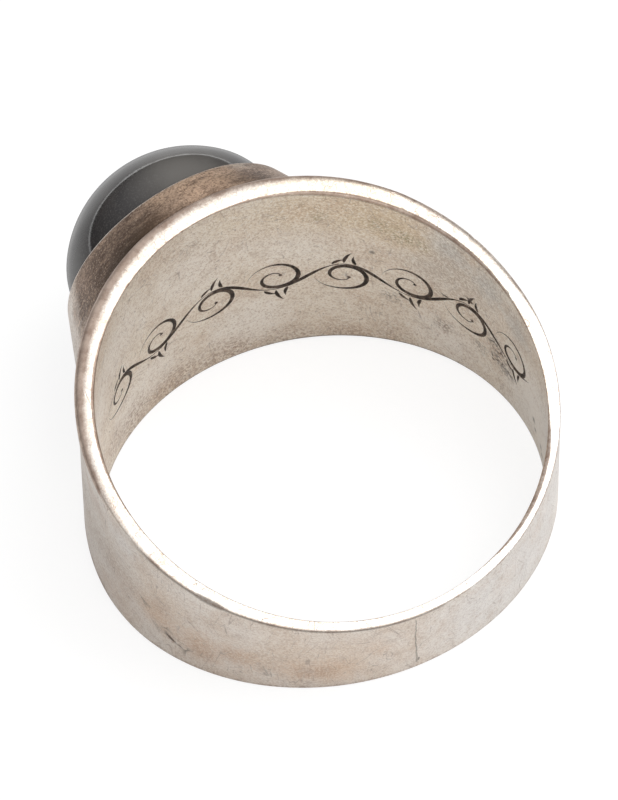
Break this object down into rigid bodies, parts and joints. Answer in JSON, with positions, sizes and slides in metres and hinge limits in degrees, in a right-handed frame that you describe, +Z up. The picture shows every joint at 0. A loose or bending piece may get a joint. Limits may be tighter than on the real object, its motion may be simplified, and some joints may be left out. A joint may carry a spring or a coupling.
{
  "type": "silver finger ring with a domed stone",
  "caption": "Silver finger ring: a broad band that narrows towards the back, with a flared collar on its head holding a high domed dark grey stone. It lies on one rim.",
  "frame": {"origin": "the point where the finger hole's axis meets the surface that the ring lies on, in the plane of the rim that it rests on", "axes": "+Z up from the surface that the ring lies on, square to the rim that it rests on; +X from the finger hole towards the stone, whose axis rises 11.4 degrees above +X; +Y across the ring, which is the same on both sides of the XZ plane"},
  "size_m": [0.0261, 0.0204, 0.0122],
  "materials": {
    "silver": "satin",
    "dark_stone": "polished"
  },
  "bodies": {
    "root": {"band": "silver", "stone": "dark_stone"}
  },
  "joints": []
}
